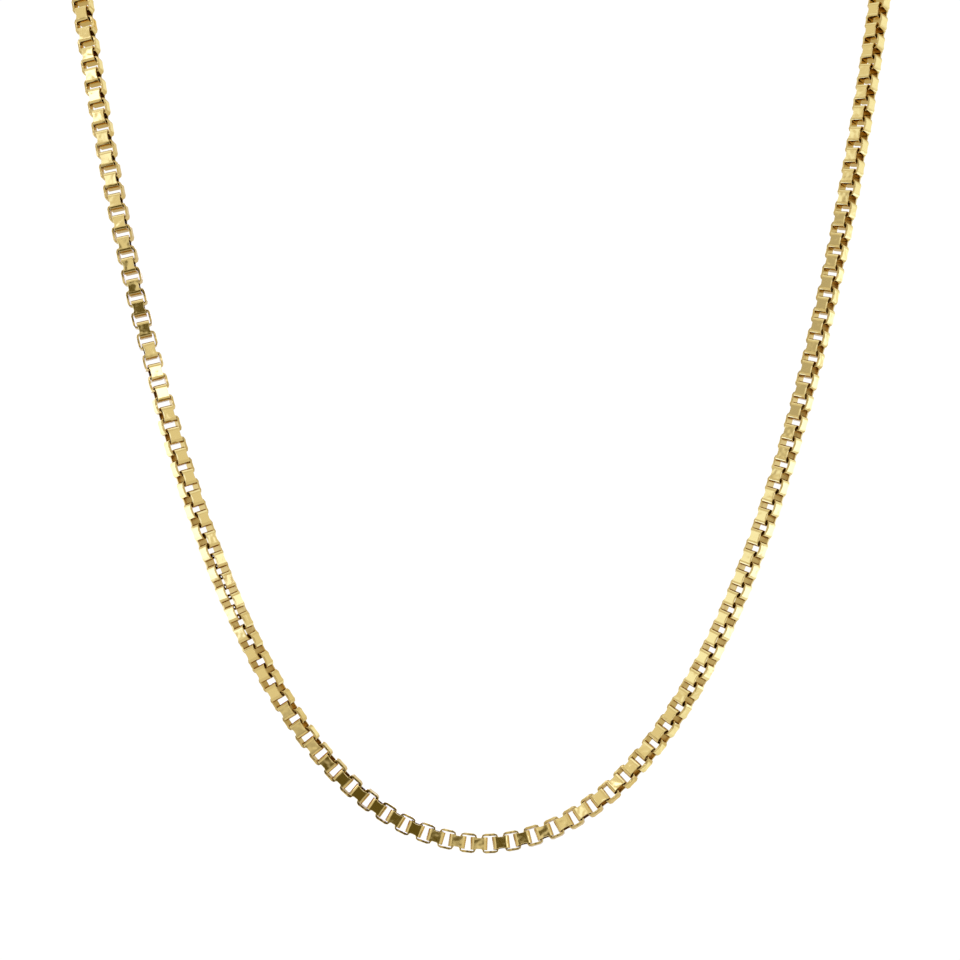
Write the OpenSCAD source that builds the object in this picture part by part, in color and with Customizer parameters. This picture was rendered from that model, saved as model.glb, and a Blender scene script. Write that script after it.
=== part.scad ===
// Box chain necklace of yellow gold, held open in the form it takes round a neck
// The origin is where the clasp rests on the nape. +Z is up, and the front hangs towards -Y.

/* [Links] */
// Length of one link along the chain, outside
link_length = 2.18; // [2:0.02:2.6]
// Height of one link across the chain, outside
link_height = 2.5; // [2.2:0.05:3]
// Thickness of the strip that a link is bent from
strip_thickness = 0.29; // [0.22:0.01:0.34]
// Gap beside the strip where it lies in the next link
side_gap = 0.15; // [0.12:0.01:0.3]
// Gap along the chain between two links pulled apart
end_gap = 0.19; // [0.15:0.01:0.22]
// Radius outside the four bends of a link
bend_radius = 0.51; // [0.33:0.02:0.57]
// Radius inside the four bends of a link
inner_radius = 0.08; // [0.04:0.02:0.12]
// Depth of the hollow in each edge of the strip, between two bends
edge_hollow = 0.13; // [0.05:0.01:0.2]

/* [Hang] */
// Radius of the curve at the lowest point of the front
bottom_radius = 20.45; // [16:0.05:26]
// Length of chain that hangs in front, from one shoulder to the other
front_length = 270; // [240:5:280]
// Lean of the front away from upright, towards the shoulders
front_lean = 0; // [0:1:12]
// How much further back the shoulders lie, because the front's upper part bends back to them
front_bow = 9; // [0:1:16]
// Distance from the nape to the shoulders, back to front
shoulder_reach = 101; // [80:1:110]
// Drop from the nape to the shoulders
shoulder_drop = 21.5; // [10:0.5:35]

/* [Clasp] */
// Length of the closed barrel, without its eyes
barrel_length = 8; // [6:0.5:12]
// Diameter of the closed barrel
barrel_d = 3; // [2.4:0.1:4]
// Radius of the rounding at each end of the barrel
barrel_round = 0.6; // [0.3:0.1:1]
// Diameter of the wire of an eye
eye_wire = 0.56; // [0.4:0.02:0.6]
// Diameter of the hole of an eye
eye_hole = 1.76; // [1.6:0.02:2.2]

/* [Hidden] */

$fn = 48;

// The way from the right shoulder back to the nape, in shares:
// x of the shoulder's distance from the middle, y of shoulder_reach, z of shoulder_drop
NECK_WAY = [
    [1.03, 0.960, 0.58],
    [1.06, 0.875, 0.33],
    [1.09, 0.765, 0.23],
    [1.11, 0.625, 0.16],
    [1.10, 0.475, 0.10],
    [1.03, 0.335, 0.06],
    [0.90, 0.210, 0.03],
    [0.72, 0.115, 0.01],
    [0.50, 0.045, 0],
    [0.26, 0.008, 0],
    [0, 0, 0],
];

// How far the chain is turned about its own line, in degrees, at shares of half of front_length
TURNS = [
    [-0.94, -13],
    [-0.85, -10],
    [-0.76, -4],
    [-0.66, 0],
    [-0.60, 9],
    [-0.50, 27],
    [-0.44, 38],
    [-0.37, 48],
    [-0.26, 67],
    [-0.18, 82],
    [-0.10, 91],
    [0, 97],
    [0.06, 101],
    [0.10, 105],
    [0.14, 112],
    [0.19, 121],
    [0.25, 129],
    [0.32, 131],
    [0.42, 130],
    [0.50, 127],
    [0.58, 122],
    [0.66, 122],
    [0.76, 127],
    [0.86, 130],
    [0.94, 131],
];

// Knots on each half of the front, and steps between two knots of the route
FRONT_KNOTS = 16;
FINE = 8;
// Sides of the tube that fills the hidden stretch, and its rings for each of its diameters
TUBE_SIDES = 8;
RINGS_PER_D = 0.42;
// Facets of a bend, outside and inside
BEND_FACETS = 3;
INNER_FACETS = 1;
// Gap between the tube and what it ends at
TUBE_GAP = 0.15;

strip_width = link_height - 2 * strip_thickness - 2 * side_gap;
eye_r = (eye_hole + eye_wire) / 2;
// Distance of an eye's centre from the middle of the barrel, its wire sunk half into the barrel's end
eye_x = barrel_length / 2 + eye_r;
// Distance of an eye's centre from the centre of the link that hangs in it
eye_pitch = link_length / 2 - strip_thickness - end_gap - eye_wire / 2 + eye_r;

half_front = front_length / 2;
shoulder_x = bottom_radius * asinh(half_front / bottom_radius);
front_rise = hang(half_front)[1];

function asinh(v) = ln(v + sqrt(v * v + 1));
function unit(v) = v / norm(v);
// The part of v that is square to the direction t
function across(v, t) = unit(v - (v * t) * t);
function mirrored(v) = [-v.x, v.y, v.z];

// A hanging chain: distance from the middle, and rise over its lowest point, at a length s from it
function hang(s) =
    let (a = bottom_radius)
    [a * asinh(s / a), sqrt(a * a + s * s) - a];

// Distance behind the lowest point, and height over it, of a point that hangs at a rise over it:
// the front leans, and its upper part is bent back, which takes a little off its height
function leant(rise) =
    let (
        share = rise / front_rise,
        back = front_bow * pow(share, 4),
        up = rise - 8 / 7 * front_bow * front_bow / front_rise * pow(share, 7)
    )
    [back * cos(front_lean) + up * sin(front_lean), up * cos(front_lean) - back * sin(front_lean)];

function front_point(s) =
    let (h = hang(s), p = leant(h[1]) - leant(front_rise))
    [h[0], barrel_d / 2 - shoulder_reach + p[0], -shoulder_drop + p[1]];

function neck_point(share) = [
    share[0] * shoulder_x,
    barrel_d / 2 - share[1] * shoulder_reach,
    -share[2] * shoulder_drop,
];

// Right half of the route, from the lowest point to the nape, and a smooth curve through it
half_knots = concat(
    [for (i = [0 : FRONT_KNOTS]) front_point(half_front * i / FRONT_KNOTS)],
    [for (share = NECK_WAY) neck_point(share)]
);
last_knot = len(half_knots) - 1;
knots = concat([mirrored(half_knots[1])], half_knots, [mirrored(half_knots[last_knot - 1])]);

function curve(a, b, c, d, u) =
    0.5 * (2 * b + (c - a) * u + (2 * a - 5 * b + 4 * c - d) * u * u + (3 * b - a - 3 * c + d) * u * u * u);

walk = concat(
    [for (i = [0 : last_knot - 1], j = [0 : FINE - 1])
        curve(knots[i], knots[i + 1], knots[i + 2], knots[i + 3], j / FINE)],
    [half_knots[last_knot]]
);
steps = len(walk) - 1;
// Length walked at each step, and a direction square to the route carried along with no twist
walked = [for (i = 0, w = 0; i <= steps; w = w + norm(walk[min(i + 1, steps)] - walk[i]), i = i + 1) w];
half_route = walked[steps];

function heading(i) = unit(walk[min(i + 1, steps)] - walk[max(i - 1, 0)]);

facing = [
    for (i = 0, f = across([0, -cos(front_lean), sin(front_lean)], [1, 0, 0]);
         i <= steps;
         i = i + 1, f = across(f, heading(min(i, steps))))
    f
];

place_table = [for (c = [0 : 2]) [for (i = [0 : steps]) [walked[i], walk[i][c]]]];
facing_table = [for (c = [0 : 2]) [for (i = [0 : steps]) [walked[i], facing[i][c]]]];

function read(table, s) = [for (column = table) lookup(abs(s), column)];
// Place, direction and facing at a length s along the chain from its lowest point, below 0 on the left
function place(s) = s < 0 ? mirrored(read(place_table, s)) : read(place_table, s);
function along(s) = unit(place(s + link_length / 4) - place(s - link_length / 4));
function turned(s, angle) =
    let (
        t = along(s),
        f = across(s < 0 ? mirrored(read(facing_table, s)) : read(facing_table, s), t),
        a = lookup(s / half_front, TURNS) + angle
    )
    cos(a) * f - sin(a) * cross(t, f);

// Frame at a length s: x along the chain, y across it at the given angle
function seat(s, angle) =
    let (t = along(s), d = turned(s, angle), w = cross(t, d), p = place(s))
    [[t.x, d.x, w.x, p.x], [t.y, d.y, w.y, p.y], [t.z, d.z, w.z, p.z], [0, 0, 0, 1]];

// Links fill the route between the two eyes, at a pitch that leaves end_gap between them
eye_s = half_route - eye_x;
chain_span = 2 * (eye_s - eye_pitch);
link_count = round(chain_span / (link_length - 2 * strip_thickness - end_gap)) + 1;
pitch = chain_span / (link_count - 1);
first_front = ceil((chain_span - front_length) / 2 / pitch);

function link_s(k) = (k - (link_count - 1) / 2) * pitch;
function quarter(k) = k % 2 == 0 ? 0 : -90;

function rounded(l, h, r, facets) = [
    for (c = [0 : 3], i = [0 : facets])
    let (
        sx = c == 0 || c == 3 ? 1 : -1,
        sy = c < 2 ? 1 : -1,
        a = 90 * (c + i / facets)
    )
    [sx * (l / 2 - r) + r * cos(a), sy * (h / 2 - r) + r * sin(a)]
];

module link_outline() {
    outer = rounded(link_length, link_height, bend_radius, BEND_FACETS);
    inner = rounded(
        link_length - 2 * strip_thickness,
        link_height - 2 * strip_thickness,
        inner_radius,
        INNER_FACETS
    );
    polygon(
        concat(outer, inner),
        [[for (i = [0 : len(outer) - 1]) i], [for (i = [0 : len(inner) - 1]) len(outer) + i]]
    );
}

// One link: a flat strip bent to a square ring, x along the chain and z across the strip,
// with both edges hollowed along the two walls that show
module link() {
    half = link_length / 2 - strip_thickness;
    r = (half * half + edge_hollow * edge_hollow) / (2 * edge_hollow);
    difference() {
        linear_extrude(strip_width, center = true) link_outline();
        for (side = [-1, 1])
            translate([0, 0, side * (strip_width / 2 + r - edge_hollow)])
                rotate([90, 0, 0])
                    cylinder(r = r, h = 2 * link_height, center = true);
    }
}

module chain_front() {
    color("gold")
        for (k = [first_front : link_count - 1 - first_front])
            multmatrix(seat(link_s(k), quarter(k))) link();
}

// Plain tube of the chain's height along the route, between two lengths from the lowest point
module chain_tube(from, to) {
    rings = ceil(abs(to - from) / link_height * RINGS_PER_D);
    r = link_height / 2 / cos(180 / TUBE_SIDES);
    points = [
        for (i = [0 : rings], j = [0 : TUBE_SIDES - 1])
        let (
            m = seat(from + (to - from) * i / rings, 0),
            a = 360 * (j + 0.5) / TUBE_SIDES,
            v = [0, r * cos(a), r * sin(a), 1]
        )
        [m[0] * v, m[1] * v, m[2] * v]
    ];
    sides = [
        for (i = [0 : rings - 1], j = [0 : TUBE_SIDES - 1])
        let (a = i * TUBE_SIDES, b = a + TUBE_SIDES, n = (j + 1) % TUBE_SIDES)
        [a + j, b + j, b + n, a + n]
    ];
    polyhedron(
        points,
        concat(
            sides,
            [[for (j = [0 : TUBE_SIDES - 1]) j]],
            [[for (j = [TUBE_SIDES - 1 : -1 : 0]) rings * TUBE_SIDES + j]]
        )
    );
}

// The hidden stretch: two tubes from the last front links to the eyes of the clasp
module chain_back() {
    front_end = -link_s(first_front) + link_length / 2 + TUBE_GAP;
    eye_end = eye_s - eye_r - eye_wire / 2 - TUBE_GAP;
    color("gold") {
        chain_tube(front_end, eye_end);
        chain_tube(-eye_end, -front_end);
    }
}

module eye(side) {
    multmatrix(seat(side * eye_s, quarter(side < 0 ? -1 : link_count)))
        rotate_extrude() translate([eye_r, 0]) circle(d = eye_wire);
}

// Closed barrel with an eye at each end, in one piece
module clasp() {
    r = barrel_d / 2;
    h = barrel_length / 2;
    q = barrel_round;
    profile = concat(
        [[0, -h]],
        [for (i = [0 : 6]) [r - q + q * sin(15 * i), -h + q - q * cos(15 * i)]],
        [for (i = [6 : -1 : 0]) [r - q + q * sin(15 * i), h - q + q * cos(15 * i)]],
        [[0, h]]
    );
    color("goldenrod") {
        translate([0, place(eye_s).y, place(eye_s).z])
            rotate([0, 90, 0])
                rotate_extrude() polygon(profile);
        eye(-1);
        eye(1);
    }
}

chain_front();
chain_back();
clasp();
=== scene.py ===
"""A box chain necklace of yellow gold, held open as round a neck, in a plain pale studio."""
import logging
import math
import random
from bisect import bisect_right
from dataclasses import dataclass, field
from enum import Enum
from typing import Callable, Sequence, TypeVar

import bmesh
import bpy
from mathutils import Matrix, Vector


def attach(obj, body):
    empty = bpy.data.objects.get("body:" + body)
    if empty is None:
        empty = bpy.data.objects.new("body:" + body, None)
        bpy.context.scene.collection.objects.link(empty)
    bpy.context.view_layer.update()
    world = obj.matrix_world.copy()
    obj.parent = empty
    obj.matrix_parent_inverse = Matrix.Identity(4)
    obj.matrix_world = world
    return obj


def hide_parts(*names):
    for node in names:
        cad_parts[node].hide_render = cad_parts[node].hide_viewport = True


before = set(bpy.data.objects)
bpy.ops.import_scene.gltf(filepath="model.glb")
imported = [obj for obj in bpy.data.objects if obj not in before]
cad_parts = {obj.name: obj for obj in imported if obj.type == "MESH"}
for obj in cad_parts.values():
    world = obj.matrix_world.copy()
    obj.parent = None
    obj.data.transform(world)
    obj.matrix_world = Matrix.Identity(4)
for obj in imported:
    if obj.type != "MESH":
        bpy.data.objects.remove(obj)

log = logging.getLogger("box_chain")

Colour = tuple[float, float, float]
Number = TypeVar("Number", float, Vector)

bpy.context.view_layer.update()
BODY = "root"
MM = 0.001

# Points nearer to each other than this lie at one place.
TIDY_GAP = 1e-5
# A face counts as square to an axis where its normal has this share along it, bends beside it included.
SQUARE = 0.9
# The same for a flat wall without the bends beside it.
FLAT = 0.99


class Node(Enum):
    """The solids of the frame that the pieces stand for."""

    FRONT = "chain_front"
    BACK = "chain_back"
    CLASP = "clasp"


class Slot(Enum):
    """The record's material slots."""

    CHAIN = "chain_gold"
    CLASP = "clasp_gold"


class Element(Enum):
    """What a selection in edit mode is made of."""

    POINT = "VERT"
    EDGE = "EDGE"
    FACE = "FACE"


class Side(Enum):
    """The two sides of the necklace, as the viewer sees them."""

    LEFT = -1
    RIGHT = 1


@dataclass(frozen=True)
class Turn:
    """How far the chain is turned about its own line at one place.

    Args:
        at: share of half of the front's length, below 0 on the left.
        degrees: the turn there.
    """

    at: float
    degrees: float


@dataclass(frozen=True)
class NeckShare:
    """A point of the way from the right shoulder back to the nape, in shares.

    Args:
        out: share of the shoulder's distance from the middle.
        reach: share of the distance from the nape to the shoulders, back to front.
        drop: share of the drop from the nape to the shoulders.
    """

    out: float
    reach: float
    drop: float


TURNS = (
    Turn(-0.94, -13),
    Turn(-0.85, -10),
    Turn(-0.76, -4),
    Turn(-0.66, 0),
    Turn(-0.60, 9),
    Turn(-0.50, 27),
    Turn(-0.44, 38),
    Turn(-0.37, 48),
    Turn(-0.26, 67),
    Turn(-0.18, 82),
    Turn(-0.10, 91),
    Turn(0, 97),
    Turn(0.06, 101),
    Turn(0.10, 105),
    Turn(0.14, 112),
    Turn(0.19, 121),
    Turn(0.25, 129),
    Turn(0.32, 131),
    Turn(0.42, 130),
    Turn(0.50, 127),
    Turn(0.58, 122),
    Turn(0.66, 122),
    Turn(0.76, 127),
    Turn(0.86, 130),
    Turn(0.94, 131),
)

NECK_WAY = (
    NeckShare(1.03, 0.960, 0.58),
    NeckShare(1.06, 0.875, 0.33),
    NeckShare(1.09, 0.765, 0.23),
    NeckShare(1.11, 0.625, 0.16),
    NeckShare(1.10, 0.475, 0.10),
    NeckShare(1.03, 0.335, 0.06),
    NeckShare(0.90, 0.210, 0.03),
    NeckShare(0.72, 0.115, 0.01),
    NeckShare(0.50, 0.045, 0),
    NeckShare(0.26, 0.008, 0),
    NeckShare(0, 0, 0),
)


def lookup(marks: Sequence[float], values: Sequence[Number], at: float) -> Number:
    """Reads a table between its marks, and holds its first and last value beyond them.

    Args:
        marks: rising places.
        values: a number or a vector for each mark.
        at: the place to read.

    Returns:
        The value there.
    """
    if at <= marks[0]:
        return values[0]
    if at >= marks[-1]:
        return values[-1]
    i = bisect_right(marks, at) - 1
    share = (at - marks[i]) / (marks[i + 1] - marks[i])
    return values[i] * (1 - share) + values[i + 1] * share


def across(v: Vector, ahead: Vector) -> Vector:
    """The part of v that is square to the direction ahead, at length 1."""
    return (v - v.dot(ahead) * ahead).normalized()


def mirrored(v: Vector) -> Vector:
    """The vector with its left and right exchanged."""
    return Vector((-v.x, v.y, v.z))


def deselect() -> None:
    """Clears the selection in object mode."""
    if bpy.context.object and bpy.context.object.mode != "OBJECT":
        bpy.ops.object.mode_set(mode="OBJECT")
    bpy.ops.object.select_all(action="DESELECT")


def only(piece: bpy.types.Object) -> None:
    """Makes a piece the only one that is selected, and the active one.

    Args:
        piece: the piece.
    """
    deselect()
    piece.select_set(True)
    bpy.context.view_layer.objects.active = piece


def edit(piece: bpy.types.Object) -> None:
    """Opens a piece in edit mode."""
    only(piece)
    bpy.ops.object.mode_set(mode="EDIT")


def pick(piece: bpy.types.Object, kind: Element, wanted: Callable[..., bool]) -> None:
    """Selects the points, edges or faces of the piece in edit mode that pass a test, and no others.

    Args:
        piece: the mesh that is open in edit mode.
        kind: what is selected.
        wanted: says of one element whether it is selected.
    """
    bpy.ops.mesh.select_mode(type=kind.value)
    bpy.ops.mesh.select_all(action="DESELECT")
    mesh = bmesh.from_edit_mesh(piece.data)
    mesh.normal_update()
    elements = {Element.POINT: mesh.verts, Element.EDGE: mesh.edges, Element.FACE: mesh.faces}[kind]
    for element in elements:
        if wanted(element):
            element.select_set(True)
    mesh.select_flush_mode()
    bmesh.update_edit_mesh(piece.data)


def cut(at: Vector, normal: Vector) -> None:
    """Cuts every face of the piece in edit mode along one plane, and keeps both sides."""
    bpy.ops.mesh.select_all(action="SELECT")
    bpy.ops.mesh.bisect(plane_co=at, plane_no=normal, threshold=TIDY_GAP)


def finish_with(piece: bpy.types.Object, kind: str, **values: object) -> None:
    """Adds one modifier to the piece, sets its values and applies it.

    Args:
        piece: the mesh to finish.
        kind: the modifier's type.
        values: its settings by name.
    """
    only(piece)
    modifier = piece.modifiers.new(kind.lower(), kind)
    for name, value in values.items():
        setattr(modifier, name, value)
    bpy.ops.object.modifier_apply(modifier=modifier.name)


def take(name: str, node: Node, piece: bpy.types.Object) -> None:
    """Names a finished piece, lets it ride on the part's body and stand for a node.

    Args:
        name: the piece's plain name.
        node: the solid that it replaces.
        piece: the finished mesh.
    """
    piece.name = name
    piece.data.name = name
    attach(piece, BODY)
    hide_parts(node.value)
    log.info("%s: %d faces", name, len(piece.data.polygons))


@dataclass(frozen=True)
class LinkSizes:
    """Sizes of one link and its play in the next, in millimetres.

    Args:
        length: along the chain, over all.
        height: across the chain, over all.
        thickness: of the strip.
        side_gap: room on each side of the strip inside the next link.
        end_gap: room between two links along the chain when it is pulled straight.
        bend_radius: outside radius of the four bends.
        edge_hollow: how far each edge of the strip is drawn in between the bends.
        rim: width of the rounding along the outer rims.
    """

    length: float = 2.18
    height: float = 2.5
    thickness: float = 0.29
    side_gap: float = 0.15
    end_gap: float = 0.19
    bend_radius: float = 0.51
    edge_hollow: float = 0.13
    rim: float = 0.05

    @property
    def strip_width(self) -> float:
        """Width of the strip, which lies in the next link with side_gap on each side."""
        return self.height - 2 * self.thickness - 2 * self.side_gap

    @property
    def tight_pitch(self) -> float:
        """Distance between the centres of two links that hang in each other."""
        return self.length - 2 * self.thickness - self.end_gap


@dataclass(frozen=True)
class ClaspSizes:
    """Sizes of the closed barrel clasp, in millimetres.

    Args:
        barrel_length: over all, without the eyes.
        barrel_d: diameter of the barrel.
        barrel_round: width of the rounding at its ends.
        eye_wire: diameter of the wire of an eye.
        eye_hole: diameter of the hole in an eye.
    """

    barrel_length: float = 8
    barrel_d: float = 3
    barrel_round: float = 0.6
    eye_wire: float = 0.56
    eye_hole: float = 1.76

    @property
    def eye_r(self) -> float:
        """Radius of an eye's wire about the middle of its hole."""
        return (self.eye_hole + self.eye_wire) / 2

    @property
    def eye_x(self) -> float:
        """Distance of an eye's centre from the middle of the barrel."""
        return self.barrel_length / 2 + self.eye_r


@dataclass
class Route:
    """The line that the chain takes, as the solids have it, in millimetres.

    Args:
        link: the link's sizes.
        clasp: the clasp's sizes.
        bottom_radius: radius of the hanging curve at its lowest point.
        front_length: length of chain that hangs from shoulder to shoulder.
        front_lean: how far the front leans, in radians.
        front_bow: how far the front's upper ends are bent back.
        bow_power: how late the bend back sets in, as a power of the height.
        shoulder_reach: distance of the shoulders before the nape.
        shoulder_drop: distance of the shoulders under the nape.
        front_knots: points of the front's half that the curve passes through.
        knot_steps: steps of the walk from one of the curve's points to the next.
    """

    link: LinkSizes = field(default_factory=LinkSizes)
    clasp: ClaspSizes = field(default_factory=ClaspSizes)
    bottom_radius: float = 20.45
    front_length: float = 270
    front_lean: float = 0
    front_bow: float = 9
    bow_power: int = 4
    shoulder_reach: float = 101
    shoulder_drop: float = 21.5
    front_knots: int = 16
    knot_steps: int = 8

    def __post_init__(self) -> None:
        """Walks the right half once, carries a direction along it with no twist, and counts the links."""
        self.half_front = self.front_length / 2
        self.walk = self.walk_right_half()
        self.walked = [0.0]
        for a, b in zip(self.walk, self.walk[1:]):
            self.walked.append(self.walked[-1] + (b - a).length)
        straight_on = Vector((0, -math.cos(self.front_lean), math.sin(self.front_lean)))
        facing = across(straight_on, Vector((1, 0, 0)))
        self.facing = [facing]
        for i in range(1, len(self.walk)):
            facing = across(facing, self.heading(i))
            self.facing.append(facing)
        self.eye_s = self.walked[-1] - self.clasp.eye_x
        span = 2 * (self.eye_s - self.eye_pitch)
        self.link_count = round(span / self.link.tight_pitch) + 1
        self.pitch = span / (self.link_count - 1)
        self.first_front = math.ceil((span - self.front_length) / 2 / self.pitch)

    def walk_right_half(self) -> list[Vector]:
        """Lays the curve through the points of the front and of the way round the neck.

        Returns:
            The curve's steps, from the lowest point to the nape.
        """
        steps = range(self.front_knots + 1)
        knots = [self.front_point(self.half_front * i / self.front_knots) for i in steps]
        knots += [self.neck_point(share) for share in NECK_WAY]
        knots = [mirrored(knots[1]), *knots, mirrored(knots[-2])]
        walk = [
            self.curve(*knots[i:i + 4], j / self.knot_steps)
            for i in range(len(knots) - 3)
            for j in range(self.knot_steps)
        ]
        return [*walk, knots[-2]]

    @property
    def eye_pitch(self) -> float:
        """Distance of an eye's centre from the centre of the link that hangs in it."""
        link, clasp = self.link, self.clasp
        return link.length / 2 - link.thickness - link.end_gap - clasp.eye_wire / 2 + clasp.eye_r

    @property
    def top(self) -> float:
        """Rise of the shoulders over the lowest point, if the front were upright and flat."""
        return self.hang(self.half_front)[1]

    def hang(self, s: float) -> tuple[float, float]:
        """Distance out and rise of a hanging chain at a length s from its lowest point."""
        a = self.bottom_radius
        return a * math.asinh(s / a), math.hypot(a, s) - a

    def leant(self, rise: float) -> Vector:
        """A point that hangs at a rise over the lowest one, where the front leans and is bent back.

        Args:
            rise: its height if the front were upright and flat.

        Returns:
            Its place behind the lowest point and its height over it, as y and z.
        """
        share = rise / self.top
        power = self.bow_power
        back = self.front_bow * share**power
        # The strand keeps its length, so it rises less by half of its slope backwards squared, summed up.
        lost = power**2 / 2 / (2 * power - 1) * self.front_bow**2 / self.top * share**(2 * power - 1)
        return Matrix.Rotation(-self.front_lean, 3, "X") @ Vector((0, back, rise - lost))

    def front_point(self, s: float) -> Vector:
        """A point of the front's right half.

        Args:
            s: length of chain from the lowest point.

        Returns:
            Its place.
        """
        out, rise = self.hang(s)
        shoulder = Vector((0, self.clasp.barrel_d / 2 - self.shoulder_reach, -self.shoulder_drop))
        return Vector((out, 0, 0)) + shoulder + self.leant(rise) - self.leant(self.top)

    def neck_point(self, share: NeckShare) -> Vector:
        """A point of the way round the neck.

        Args:
            share: the point in shares.

        Returns:
            Its place.
        """
        return Vector((
            share.out * self.hang(self.half_front)[0],
            self.clasp.barrel_d / 2 - share.reach * self.shoulder_reach,
            -share.drop * self.shoulder_drop,
        ))

    @staticmethod
    def curve(a: Vector, b: Vector, c: Vector, d: Vector, u: float) -> Vector:
        """A point of the smooth curve through four points, from b at u = 0 to c at u = 1."""
        square = 2 * a - 5 * b + 4 * c - d
        cube = 3 * b - a - 3 * c + d
        return 0.5 * (2 * b + (c - a) * u + square * u * u + cube * u * u * u)

    def heading(self, i: int) -> Vector:
        """Direction of the walk at one of its steps."""
        last = len(self.walk) - 1
        return (self.walk[min(i + 1, last)] - self.walk[max(i - 1, 0)]).normalized()

    def place(self, s: float) -> Vector:
        """Place at a length s along the chain from its lowest point, below 0 on the left."""
        p = lookup(self.walked, self.walk, abs(s))
        return mirrored(p) if s < 0 else p.copy()

    def along(self, s: float) -> Vector:
        """Direction of the chain at a length s, taken over half a link."""
        step = self.link.length / 4
        return (self.place(s + step) - self.place(s - step)).normalized()

    def turned(self, s: float, degrees: float) -> Vector:
        """Direction across the chain.

        Args:
            s: length along the chain from the lowest point.
            degrees: angle on top of the chain's own turn.

        Returns:
            The direction.
        """
        ahead = self.along(s)
        facing = lookup(self.walked, self.facing, abs(s))
        facing = across(mirrored(facing) if s < 0 else facing, ahead)
        turn = lookup([row.at for row in TURNS], [row.degrees for row in TURNS], s / self.half_front)
        angle = math.radians(turn + degrees)
        return math.cos(angle) * facing - math.sin(angle) * ahead.cross(facing)

    def seat(self, s: float, degrees: float) -> Matrix:
        """Frame at a length s: x along the chain, y across it at the given angle.

        Args:
            s: length along the chain from the lowest point.
            degrees: angle on top of the chain's own turn.

        Returns:
            The matrix that puts a shape made in millimetres there, in metres.
        """
        ahead = self.along(s)
        outward = self.turned(s, degrees)
        aside = ahead.cross(outward)
        place = self.place(s)
        rows = [(ahead[i], outward[i], aside[i], place[i]) for i in range(3)]
        return Matrix.Scale(MM, 4) @ Matrix((*rows, (0, 0, 0, 1)))

    def link_s(self, k: int) -> float:
        """Length from the lowest point to the centre of link k."""
        return (k - (self.link_count - 1) / 2) * self.pitch

    @staticmethod
    def quarter(k: int) -> float:
        """Angle of link k: every second one is turned by a quarter turn."""
        return 0 if k % 2 == 0 else -90


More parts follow.
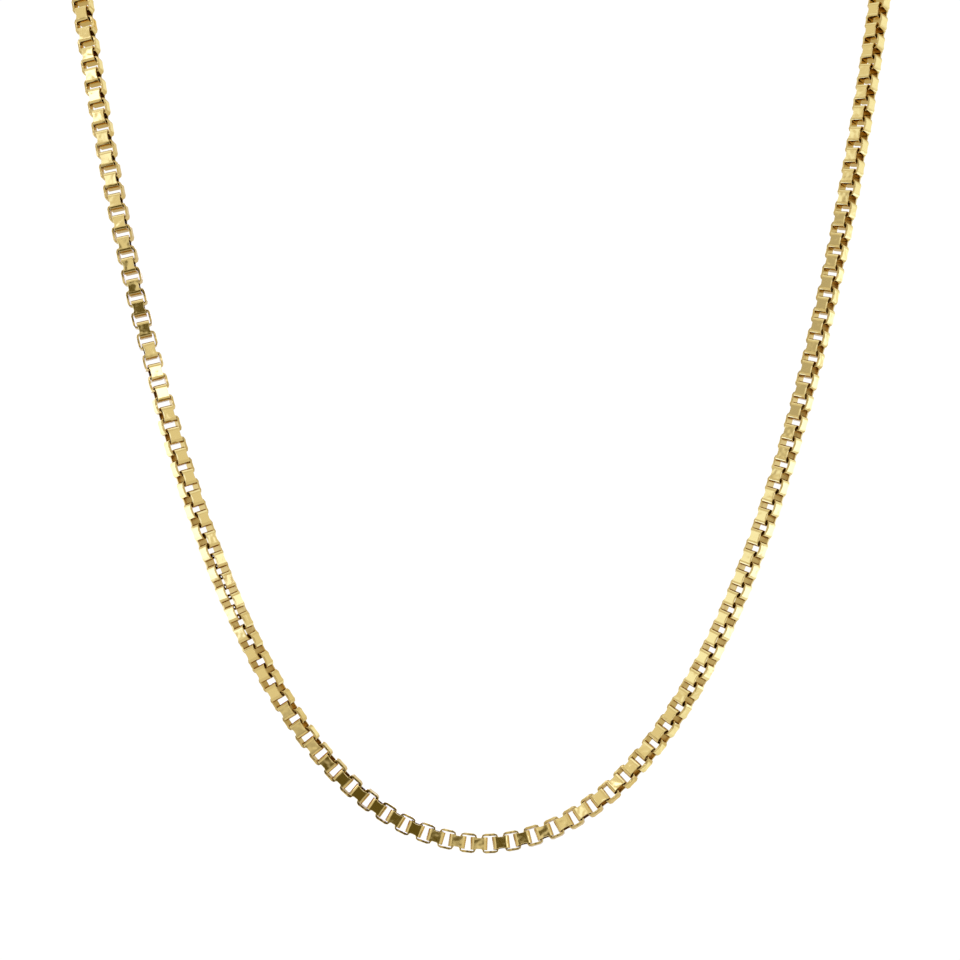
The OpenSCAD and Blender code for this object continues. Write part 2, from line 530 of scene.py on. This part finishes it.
@dataclass
class Link:
    """One link, modelled once at a size in millimetres and then copied along the chain.

    Args:
        sizes: the link's sizes.
        columns: stretches that a wall is divided into along the chain, so that its edges can be hollowed.
        bend_segments: flats round a bend.
        rim_segments: flats across a rounded rim.
        smooth_angle: sharpest edge that is still shaded round.
        end_share: how openly the outer faces of the ends lie, which the next links half cover, and so how
            much of the painted shade and the duller polish they get.
    """

    sizes: LinkSizes = field(default_factory=LinkSizes)
    columns: int = 3
    bend_segments: int = 2
    rim_segments: int = 1
    smooth_angle: float = math.radians(44)
    end_share: float = 0.3

    def build(self) -> bpy.types.Object:
        """Models the strip, bends it, hollows its edges and gives it its thickness.

        Returns:
            The link, with x along the chain and z across the strip.
        """
        size = self.sizes
        deselect()
        bpy.ops.mesh.primitive_cube_add(size=1, scale=(size.length, size.height, size.strip_width))
        link = bpy.context.active_object
        link.name = "link"
        bpy.ops.object.transform_apply(location=False, rotation=False, scale=True)
        self.open_sides(link)
        self.bend_corners(link)
        self.hollow_edges(link)
        finish_with(link, "SOLIDIFY", thickness=size.thickness, offset=-1, use_even_offset=True)
        self.square_inside(link)
        self.join_sides(link)
        self.round_rims(link)
        self.smooth_bends(link)
        self.mark(link)
        return link

    def open_sides(self, link: bpy.types.Object) -> None:
        """Leaves a closed band of four walls.

        Args:
            link: the link, still a block.
        """
        edit(link)
        pick(link, Element.FACE, lambda f: abs(f.normal.z) > SQUARE)
        bpy.ops.mesh.delete(type="FACE")

    def bend_corners(self, link: bpy.types.Object) -> None:
        """Rounds the four bends of the band.

        Args:
            link: the link, open in edit mode.
        """
        pick(link, Element.EDGE, lambda e: abs(e.verts[0].co.z - e.verts[1].co.z) > TIDY_GAP)
        bpy.ops.mesh.bevel(
            offset=self.sizes.bend_radius,
            segments=self.bend_segments,
            affect="EDGES",
            clamp_overlap=False,
        )

    def hollow_edges(self, link: bpy.types.Object) -> None:
        """Draws in the edges of the two walls that show, deepest in the middle.

        Args:
            link: the link, open in edit mode.
        """
        size = self.sizes
        half = size.length / 2 - size.thickness
        places = [half * (2 * i / self.columns - 1) for i in range(1, self.columns)]
        for x in places:
            cut(Vector((x, 0, 0)), Vector((1, 0, 0)))
        for x in places:
            depth = size.edge_hollow * (1 - (x / half) ** 2)
            pick(link, Element.POINT, lambda v: abs(v.co.x - x) < TIDY_GAP)
            bpy.ops.transform.resize(value=(1, 1, 1 - 2 * depth / size.strip_width))

    def square_inside(self, link: bpy.types.Object) -> None:
        """Draws the steps inside each bend together into one sharp corner.

        Args:
            link: the link with its thickness.
        """
        size = self.sizes
        corner = Vector((size.length / 2 - size.thickness, size.height / 2 - size.thickness))

        def is_inside_bend(at: Vector) -> bool:
            """A point of the band's inner face that lies within a bend."""
            short = corner - Vector((abs(at.x), abs(at.y)))
            return min(short) > -size.thickness / 4 and short.length < size.bend_radius

        def is_step(edge: bmesh.types.BMEdge) -> bool:
            """An edge round an inside bend, not across the strip."""
            a, b = (v.co for v in edge.verts)
            return abs(a.z - b.z) < TIDY_GAP and all(is_inside_bend(at) for at in (a, (a + b) / 2, b))

        edit(link)
        pick(link, Element.EDGE, is_step)
        bpy.ops.mesh.merge(type="COLLAPSE")
        pick(link, Element.POINT, lambda v: is_inside_bend(v.co))
        drawn = next(v.co for v in bmesh.from_edit_mesh(link.data).verts if v.select)
        bpy.ops.transform.resize(value=(corner.x / abs(drawn.x), corner.y / abs(drawn.y), 1))

    def join_sides(self, link: bpy.types.Object) -> None:
        """Makes one face of each flat side round an end, and turns all faces outwards.

        Args:
            link: the link, open in edit mode.
        """
        end = self.sizes.length / 2 - self.sizes.bend_radius

        def is_side_round_end(face: bmesh.types.BMFace) -> bool:
            """A face of a flat side of the strip that lies in a bend or beyond it."""
            return abs(face.normal.z) > SQUARE and all(abs(v.co.x) > end - TIDY_GAP for v in face.verts)

        pick(link, Element.FACE, is_side_round_end)
        bpy.ops.mesh.dissolve_limited(angle_limit=math.radians(1))
        bpy.ops.mesh.select_all(action="SELECT")
        bpy.ops.mesh.normals_make_consistent(inside=False)

    def round_rims(self, link: bpy.types.Object) -> None:
        """Takes the sharpness off the outer rims of the strip.

        Args:
            link: the link with its thickness.
        """

        def is_outer_rim(edge: bmesh.types.BMEdge) -> bool:
            """An edge between a flat side of the strip and its outer face.

            Args:
                edge: the edge.

            Returns:
                Whether it is one.
            """
            if len(edge.link_faces) != 2:
                return False
            side, face = sorted(edge.link_faces, key=lambda f: -abs(f.normal.z))
            outward = face.normal.dot(face.calc_center_median()) > 0
            return abs(side.normal.z) > SQUARE and abs(face.normal.z) < 1 - SQUARE and outward

        edit(link)
        pick(link, Element.EDGE, is_outer_rim)
        bpy.ops.mesh.bevel(
            offset=self.sizes.rim,
            segments=self.rim_segments,
            affect="EDGES",
            clamp_overlap=False,
        )
        bpy.ops.object.mode_set(mode="OBJECT")

    def smooth_bends(self, link: bpy.types.Object) -> None:
        """Shades the bends round and leaves the walls between them flat.

        Args:
            link: the finished shape.
        """
        only(link)
        bpy.ops.object.shade_smooth_by_angle(angle=self.smooth_angle)
        edit(link)
        pick(link, Element.FACE, lambda f: max(abs(f.normal.x), abs(f.normal.y)) > FLAT)
        bpy.ops.mesh.mod_weighted_strength(set=True, face_strength="STRONG")
        bpy.ops.object.mode_set(mode="OBJECT")
        finish_with(link, "WEIGHTED_NORMAL", keep_sharp=True, use_face_influence=True)

    def mark(self, link: bpy.types.Object) -> None:
        """Stores how openly each face lies, from 0 inside the link to 1 on its outer walls, which sets
        how much painted shade and duller polish the gold gives it.

        Args:
            link: the finished shape.
        """
        size = self.sizes
        unshaded_polished = link.data.attributes.new("unshaded_polished", "FLOAT", "FACE")
        link.data.attributes.new("tone", "FLOAT", "POINT")
        for face in link.data.polygons:
            end = abs(face.center.x) - size.length / 2
            wall = max(end, abs(face.center.y) - size.height / 2)
            open_share = min(1, max(0, 1 + wall / size.thickness))
            is_end = end > -size.thickness / 10 and abs(face.normal.x) > SQUARE
            # Faces inside the link and the half-covered ends get less, and so more painted shade.
            unshaded_polished.data[face.index].value = open_share * (self.end_share if is_end else 1)


@dataclass
class Chain:
    """Both stretches of the chain, each fused from its links.

    Args:
        route: the line that the chain takes.
        link: the link that is copied along it.
        tilt: how far a link hangs turned in its neighbours at most, in radians.
        slip: how far it hangs off its place along the chain at most, in millimetres.
        seed: start of the random draws.
    """

    route: Route
    link: bpy.types.Object
    tilt: float = math.radians(1.1)
    slip: float = 0.02
    seed: int = 7

    def __post_init__(self) -> None:
        """Draws the small play of every link once, in order."""
        draw = random.Random(self.seed)
        self.plays = [self.play(draw) for _ in range(self.route.link_count)]

    def play(self, draw: random.Random) -> tuple[Matrix, float]:
        """Draws how one link hangs off its place, and how dull it is beside the others.

        Args:
            draw: the source of the draws.

        Returns:
            The link's small move, and its tone from 0 to 1.
        """
        slip = Matrix.Translation((draw.uniform(-self.slip, self.slip), 0, 0))
        roll = Matrix.Rotation(draw.uniform(-self.tilt, self.tilt), 4, "X")
        pitch = Matrix.Rotation(draw.uniform(-self.tilt, self.tilt) / 2, 4, "Y")
        yaw = Matrix.Rotation(draw.uniform(-self.tilt, self.tilt) / 2, 4, "Z")
        return slip @ roll @ pitch @ yaw, draw.random()

    def hang_link(self, k: int) -> bpy.types.Object:
        """Copies the link to its place in the chain.

        Args:
            k: its number, from the left end round to the right.

        Returns:
            The copy.
        """
        play, tone = self.plays[k]
        copy = self.link.copy()
        copy.data = self.link.data.copy()
        bpy.context.collection.objects.link(copy)
        copy.data.transform(self.route.seat(self.route.link_s(k), self.route.quarter(k)) @ play)
        copy.data.attributes["tone"].data.foreach_set("value", [tone] * len(copy.data.vertices))
        return copy

    def fuse(self, numbers: Sequence[int]) -> bpy.types.Object:
        """Hangs the numbered links and joins them into one piece.

        Args:
            numbers: the links' numbers.

        Returns:
            The piece.
        """
        links = [self.hang_link(k) for k in numbers]
        deselect()
        for link in links:
            link.select_set(True)
        bpy.context.view_layer.objects.active = links[0]
        bpy.ops.object.join()
        return bpy.context.active_object

    def build(self, gold: bpy.types.Material) -> None:
        """Makes the front stretch and the stretch round the neck.

        Args:
            gold: their finish.
        """
        first, count = self.route.first_front, self.route.link_count
        front = self.fuse(range(first, count - first))
        back = self.fuse([*range(first), *range(count - first, count)])
        for piece in (front, back):
            piece.data.materials.append(gold)
        take("front_links", Node.FRONT, front)
        take("neck_links", Node.BACK, back)


@dataclass
class Clasp:
    """The closed barrel behind the neck, with an eye at each end.

    Args:
        route: the line that the chain takes, with the clasp's sizes.
        sides: flats round the barrel.
        round_segments: flats across the rounding at its ends.
        eye_segments: stretches round an eye.
        wire_segments: flats round an eye's wire.
        seam_width: width of the seam where the barrel screws apart, in millimetres.
        seam_share: the barrel's width in the seam as a share of the width beside it.
        smooth_angle: sharpest edge that is still shaded round.
    """

    route: Route
    sides: int = 48
    round_segments: int = 6
    eye_segments: int = 40
    wire_segments: int = 14
    seam_width: float = 0.12
    seam_share: float = 0.93
    smooth_angle: float = math.radians(40)

    def build(self, gold: bpy.types.Material) -> None:
        """Models the barrel and its eyes and joins them into one solid.

        Args:
            gold: their finish.
        """
        barrel = self.barrel()
        for side in Side:
            eye = self.eye(side)
            finish_with(barrel, "BOOLEAN", operation="UNION", object=eye, solver="EXACT")
            bpy.data.objects.remove(eye)
        only(barrel)
        bpy.ops.object.shade_smooth_by_angle(angle=self.smooth_angle)
        # The seam gets 0 and the rest 1, so the gold paints shade into the seam and dulls it.
        unshaded_polished = barrel.data.attributes.new("unshaded_polished", "FLOAT", "FACE")
        for face in barrel.data.polygons:
            unshaded_polished.data[face.index].value = float(abs(face.center.x) > self.seam_width / 2 * MM)
        barrel.data.materials.append(gold)
        take("barrel_clasp", Node.CLASP, barrel)

    def barrel(self) -> bpy.types.Object:
        """Models a turned barrel with rounded ends and the fine seam where it screws apart.

        Returns:
            The barrel at its place behind the neck.
        """
        size = self.route.clasp
        end = size.barrel_length / 2
        middle = self.route.place(self.route.eye_s)
        deselect()
        bpy.ops.mesh.primitive_cylinder_add(
            vertices=self.sides,
            radius=size.barrel_d / 2,
            depth=size.barrel_length,
            rotation=(0, math.pi / 2, 0),
        )
        barrel = bpy.context.active_object
        bpy.ops.object.transform_apply(location=False, rotation=True, scale=False)
        edit(barrel)
        pick(barrel, Element.EDGE, lambda e: all(abs(abs(v.co.x) - end) < TIDY_GAP for v in e.verts))
        bpy.ops.mesh.bevel(
            offset=size.barrel_round,
            segments=self.round_segments,
            affect="EDGES",
            clamp_overlap=False,
        )
        for x in (-self.seam_width / 2, 0, self.seam_width / 2):
            cut(Vector((x, 0, 0)), Vector((1, 0, 0)))
        pick(barrel, Element.POINT, lambda v: abs(v.co.x) < TIDY_GAP)
        bpy.ops.transform.resize(value=(1, self.seam_share, self.seam_share))
        bpy.ops.object.mode_set(mode="OBJECT")
        barrel.data.transform(Matrix.Scale(MM, 4) @ Matrix.Translation((0, middle.y, middle.z)))
        return barrel

    def eye(self, side: Side) -> bpy.types.Object:
        """Models a round eye that the chain's last link hangs in.

        Args:
            side: the end of the barrel that it is at.

        Returns:
            The eye at its place.
        """
        route, size = self.route, self.route.clasp
        deselect()
        bpy.ops.mesh.primitive_torus_add(
            major_segments=self.eye_segments,
            minor_segments=self.wire_segments,
            major_radius=size.eye_r,
            minor_radius=size.eye_wire / 2,
        )
        eye = bpy.context.active_object
        beyond = -1 if side is Side.LEFT else route.link_count
        eye.data.transform(route.seat(side.value * route.eye_s, route.quarter(beyond)))
        return eye


class Nodes:
    """A short way to lay out and join the nodes of one material or of the world."""

    def __init__(self, tree: bpy.types.NodeTree) -> None:
        """Starts with an empty tree."""
        self.tree = tree
        tree.nodes.clear()

    def add(self, kind: str, values: dict | None = None, **settings: object) -> bpy.types.Node:
        """Adds a node.

        Args:
            kind: the node's type.
            values: what each input is set to, or the output socket that feeds it.
            settings: the node's own properties.

        Returns:
            The node.
        """
        node = self.tree.nodes.new(kind)
        for name, value in settings.items():
            setattr(node, name, value)
        for name, value in (values or {}).items():
            if isinstance(value, bpy.types.NodeSocket):
                self.tree.links.new(value, node.inputs[name])
            else:
                node.inputs[name].default_value = value
        return node

    def mix(
        self,
        share: bpy.types.NodeSocket,
        one: Colour | bpy.types.NodeSocket,
        other: Colour,
    ) -> bpy.types.NodeSocket:
        """Mixes two colours.

        Args:
            share: how much of the other colour there is, from 0 to 1.
            one: the colour at 0.
            other: the colour at 1.

        Returns:
            The mixed colour.
        """
        start = one if isinstance(one, bpy.types.NodeSocket) else (*one, 1)
        values = {"Factor": share, "A": start, "B": (*other, 1)}
        return self.add("ShaderNodeMix", values, data_type="RGBA").outputs["Result"]

    def raised(
        self,
        base: bpy.types.NodeSocket,
        by: float,
        share: bpy.types.NodeSocket,
    ) -> bpy.types.NodeSocket:
        """Raises a value by a share of an amount.

        Args:
            base: the value.
            by: the amount.
            share: how much of it is added.

        Returns:
            The sum.
        """
        values = {0: share, 1: by, 2: base}
        return self.add("ShaderNodeMath", values, operation="MULTIPLY_ADD").outputs["Value"]


@dataclass(frozen=True)
class Gold:
    """Polished yellow gold: its colour, a darker painted shade inside the links, its polish and the small
    dents of wear.

    Args:
        slot: the material slot that it is the finish of, which names it.
        colour: the clean gold.
        painted_shade_colour: darker, redder gold painted as shade on the faces inside the links, on the
            half-covered ends and in the clasp's seam.
        edge_tint: what is left of the light at a grazing angle.
        polish: roughness on the open faces.
        dull: roughness where the cloth never reached.
        cloudy: roughness that the pattern of the dents adds at most.
        uneven: roughness that one link has over another at most.
        dent_scale: dents in a metre.
        dent_depth: height of the dents, in metres.
    """

    slot: Slot
    colour: Colour = (0.91, 0.68, 0.235)
    painted_shade_colour: Colour = (0.52, 0.33, 0.085)
    edge_tint: Colour = (0.88, 0.77, 0.55)
    polish: float = 0.05
    dull: float = 0.14
    cloudy: float = 0.06
    uneven: float = 0.04
    dent_scale: float = 850
    dent_depth: float = 0.00005

    def build(self) -> bpy.types.Material:
        """Lays out the nodes.

        Returns:
            The material.
        """
        material = bpy.data.materials.new(self.slot.value)
        material.use_nodes = True
        nodes = Nodes(material.node_tree)
        place = nodes.add("ShaderNodeTexCoord").outputs["Object"]
        # The share from 0 to 1 that sets both the painted shade in the colour and the duller polish.
        unshaded_polished = nodes.add("ShaderNodeAttribute", attribute_name="unshaded_polished").outputs["Fac"]
        tone = nodes.add("ShaderNodeAttribute", attribute_name="tone").outputs["Fac"]
        cloud = nodes.add(
            "ShaderNodeTexNoise",
            {"Vector": place, "Scale": self.dent_scale, "Detail": 1},
        ).outputs["Fac"]
        polish = nodes.add(
            "ShaderNodeMapRange",
            {"Value": unshaded_polished, "To Min": self.dull, "To Max": self.polish},
        ).outputs["Result"]
        dents = nodes.add(
            "ShaderNodeBump",
            {"Height": cloud, "Distance": self.dent_depth, "Strength": 1},
        ).outputs["Normal"]
        shader = nodes.add(
            "ShaderNodeBsdfPrincipled",
            {
                # Where a face lies inside a link, on a half-covered end or in the clasp's seam, its
                # colour is mixed towards the painted shade.
                "Base Color": nodes.mix(unshaded_polished, self.painted_shade_colour, self.colour),
                "Metallic": 1,
                "Roughness": nodes.raised(nodes.raised(polish, self.cloudy, cloud), self.uneven, tone),
                "Specular Tint": (*self.edge_tint, 1),
                "Normal": dents,
            },
        )
        nodes.add("ShaderNodeOutputMaterial", {"Surface": shader.outputs["BSDF"]})
        return material


@dataclass(frozen=True)
class Matte:
    """A plain matte finish for the set.

    Args:
        name: the material's name.
        colour: its colour.
        roughness: its roughness.
    """

    name: str
    colour: Colour
    roughness: float

    def build(self) -> bpy.types.Material:
        """Lays out the nodes.

        Returns:
            The material.
        """
        material = bpy.data.materials.new(self.name)
        material.use_nodes = True
        nodes = Nodes(material.node_tree)
        shader = nodes.add(
            "ShaderNodeBsdfPrincipled",
            {"Base Color": (*self.colour, 1), "Roughness": self.roughness},
        )
        nodes.add("ShaderNodeOutputMaterial", {"Surface": shader.outputs["BSDF"]})
        return material


class Light(Enum):
    """The light of the room and of its patches, as red, green and blue."""

    ROOM = (0.80, 0.82, 0.92)
    WHITE = (1.9, 2.2, 3.6)
    CLEAR = (1.45, 1.8, 3.2)
    CREAM = (1.25, 1.45, 2.2)
    PALE = (1.06, 1.22, 1.7)
    DIM = (0.52, 0.52, 0.58)
    BROWN = (0.24, 0.20, 0.12)
    DARK = (0.115, 0.095, 0.03)


@dataclass(frozen=True)
class Patch:
    """A soft bright or dark patch of the studio, as the polished faces see it.

    Args:
        azimuth: degrees round from the front, above 0 to the right.
        elevation: degrees above the horizon.
        half_width: degrees from its middle to its left and right edge.
        half_height: degrees from its middle to its upper and lower edge.
        light: the light from it.
        tilt: degrees that its right side is raised.
    """

    azimuth: float
    elevation: float
    half_width: float
    half_height: float
    light: Light
    tilt: float = 0

    @property
    def turn(self) -> Matrix:
        """The turn from straight ahead to the middle of the patch."""
        swung = Matrix.Rotation(math.radians(self.azimuth), 3, "Z")
        raised = Matrix.Rotation(math.radians(-self.elevation), 3, "X")
        return swung @ raised @ Matrix.Rotation(math.radians(-self.tilt), 3, "Y")

    @property
    def spread(self) -> Vector:
        """Its half width, depth and half height on a sphere of radius 1."""
        wide, high = (2 * math.sin(math.radians(a) / 2) for a in (self.half_width, self.half_height))
        return Vector((wide, max(wide, high), high))


# A later patch lies over an earlier one.
PATCHES = (
    Patch(-8, -27, 26, 12, Light.DIM),
    Patch(-60, 21, 6.5, 6, Light.DIM),
    Patch(-43, 10, 8, 10, Light.DIM),
    Patch(37, -32, 10, 15, Light.BROWN),
    Patch(-71, -7, 5, 6, Light.BROWN),
    Patch(-76, 24, 8, 6, Light.PALE),
    Patch(118, 2, 20, 13, Light.PALE),
    Patch(126, -42, 24, 12, Light.PALE),
    Patch(15, 55, 48, 8, Light.CREAM),
    Patch(110, 52, 40, 9, Light.PALE),
    Patch(-85, 60, 34, 9, Light.PALE),
    Patch(93, 22, 12, 6, Light.CREAM),
    Patch(-84, -15, 18, 12, Light.CLEAR),
    Patch(156, 14, 9, 5, Light.PALE),
    Patch(112, -16, 15, 8, Light.CLEAR, tilt=52),
    Patch(-134, -16, 35, 24, Light.CLEAR, tilt=-32),
    Patch(-34, 21.5, 5.5, 4, Light.WHITE),
    Patch(-20, 17, 4, 3.5, Light.CREAM),
    Patch(23, 13, 7.5, 5.5, Light.WHITE),
    Patch(-178, 4, 8, 9, Light.WHITE),
    Patch(-140, 20, 9, 9, Light.WHITE),
    Patch(-4, -8, 15, 13, Light.DARK),
    Patch(-2, 11.5, 8, 4.5, Light.DARK),
)


@dataclass
class Studio:
    """A plain pale studio and the camera at the photograph's place.

    Args:
        route: the line that the chain takes.
        image_side: width and height of the picture, in pixels.
        pixel: a pixel's width at the front of the chain, in millimetres.
        distance: of the camera from the front of the chain, in millimetres.
        middle_column: column of the chain's lowest point in the photograph.
        bottom_row: row of the chain's lowest point there.
        roll: turn of the camera about its line of sight, in radians.
        sensor: width of the camera's sensor, in millimetres.
        clip: nearest and farthest distance that the camera sees, in metres.
        floor_z: height of the floor, in metres.
        floor_radius: radius of the floor, in metres.
        floor_sides: sides of the floor's outline.
        floor_finish: the floor's finish, warm so that it looks neutral in the cool light.
        paper: what the camera sees behind the necklace.
        patch_edge: softness of a patch's edge, as a share of its size.
    """

    route: Route
    image_side: int = 960
    pixel: float = 0.128
    distance: float = 430
    middle_column: float = 483.1
    bottom_row: float = 843.7
    roll: float = math.radians(-0.24)
    sensor: float = 36
    clip: tuple[float, float] = (0.01, 20)
    floor_z: float = -0.3
    floor_radius: float = 0.8
    floor_sides: int = 128
    floor_finish: Matte = Matte("pale_floor", (0.95, 0.885, 0.69), 0.7)
    paper: Colour = (1.05, 1.05, 1.05)
    patch_edge: float = 0.2

    def build(self) -> None:
        """Sets up the camera, the floor and the light."""
        self.camera()
        self.floor()
        self.world()
        bpy.context.scene.view_settings.view_transform = "Standard"

    def camera(self) -> None:
        """Puts a level camera in front, at the photograph's distance and framing."""
        middle = self.image_side / 2
        bottom = self.route.place(0)
        data = bpy.data.cameras.new("camera")
        data.sensor_width = self.sensor
        data.lens = self.distance / self.pixel / self.image_side * self.sensor
        data.clip_start, data.clip_end = self.clip
        camera = bpy.data.objects.new("camera", data)
        place = Vector((
            (middle - self.middle_column) * self.pixel,
            bottom.y - self.distance,
            bottom.z + (self.bottom_row - middle) * self.pixel,
        ))
        level = Matrix.Rotation(math.pi / 2, 4, "X")
        camera.matrix_world = Matrix.Translation(place * MM) @ level @ Matrix.Rotation(self.roll, 4, "Z")
        bpy.context.collection.objects.link(camera)
        bpy.context.scene.camera = camera

    def floor(self) -> None:
        """Lays a plain pale floor under the necklace."""
        deselect()
        bpy.ops.mesh.primitive_circle_add(
            vertices=self.floor_sides,
            radius=self.floor_radius,
            fill_type="NGON",
            location=(0, 0, self.floor_z),
        )
        floor = bpy.context.active_object
        floor.name = "floor"
        floor.data.materials.append(self.floor_finish.build())
        floor.visible_glossy = False

    def world(self) -> None:
        """Makes white paper all round for the camera, and bright and dark sides for the polished gold."""
        world = bpy.data.worlds.new("studio")
        bpy.context.scene.world = world
        world.use_nodes = True
        nodes = Nodes(world.node_tree)
        toward = nodes.add("ShaderNodeTexCoord").outputs["Generated"]
        lit = Light.ROOM.value
        for patch in PATCHES:
            lit = nodes.mix(self.cover(nodes, patch, toward), lit, patch.light.value)
        seen = nodes.add("ShaderNodeLightPath").outputs["Is Camera Ray"]
        studio = nodes.add("ShaderNodeBackground", {"Color": lit}).outputs["Background"]
        paper = nodes.add("ShaderNodeBackground", {"Color": (*self.paper, 1)}).outputs["Background"]
        sky = nodes.add("ShaderNodeMixShader", {0: seen, 1: studio, 2: paper})
        nodes.add("ShaderNodeOutputWorld", {"Surface": sky.outputs["Shader"]})

    def cover(self, nodes: Nodes, patch: Patch, toward: bpy.types.NodeSocket) -> bpy.types.NodeSocket:
        """How far a patch covers a direction, from 0 outside it to 1 inside its soft edge.

        Args:
            nodes: the world's nodes.
            patch: the patch.
            toward: the direction.

        Returns:
            The socket that says so.
        """
        out = nodes.add(
            "ShaderNodeMapping",
            {
                "Vector": toward,
                "Location": patch.turn @ Vector((0, -1, 0)),
                "Rotation": patch.turn.to_euler(),
                "Scale": patch.spread,
            },
            vector_type="TEXTURE",
        ).outputs["Vector"]
        reach = nodes.add("ShaderNodeVectorMath", {0: out}, operation="LENGTH").outputs["Value"]
        return nodes.add(
            "ShaderNodeMapRange",
            {"Value": reach, "From Min": 1 + self.patch_edge, "From Max": 1 - self.patch_edge},
            interpolation_type="SMOOTHSTEP",
        ).outputs["Result"]


def main() -> None:
    """Builds the studio and then the necklace."""
    logging.basicConfig(level=logging.INFO, format="%(name)s: %(message)s")
    route = Route()
    Studio(route).build()
    link = Link(route.link).build()
    log.info("one link: %d faces, %d links", len(link.data.polygons), route.link_count)
    Chain(route, link).build(Gold(Slot.CHAIN).build())
    bpy.data.objects.remove(link)
    Clasp(route).build(Gold(Slot.CLASP).build())


if __name__ == "__main__":
    main()
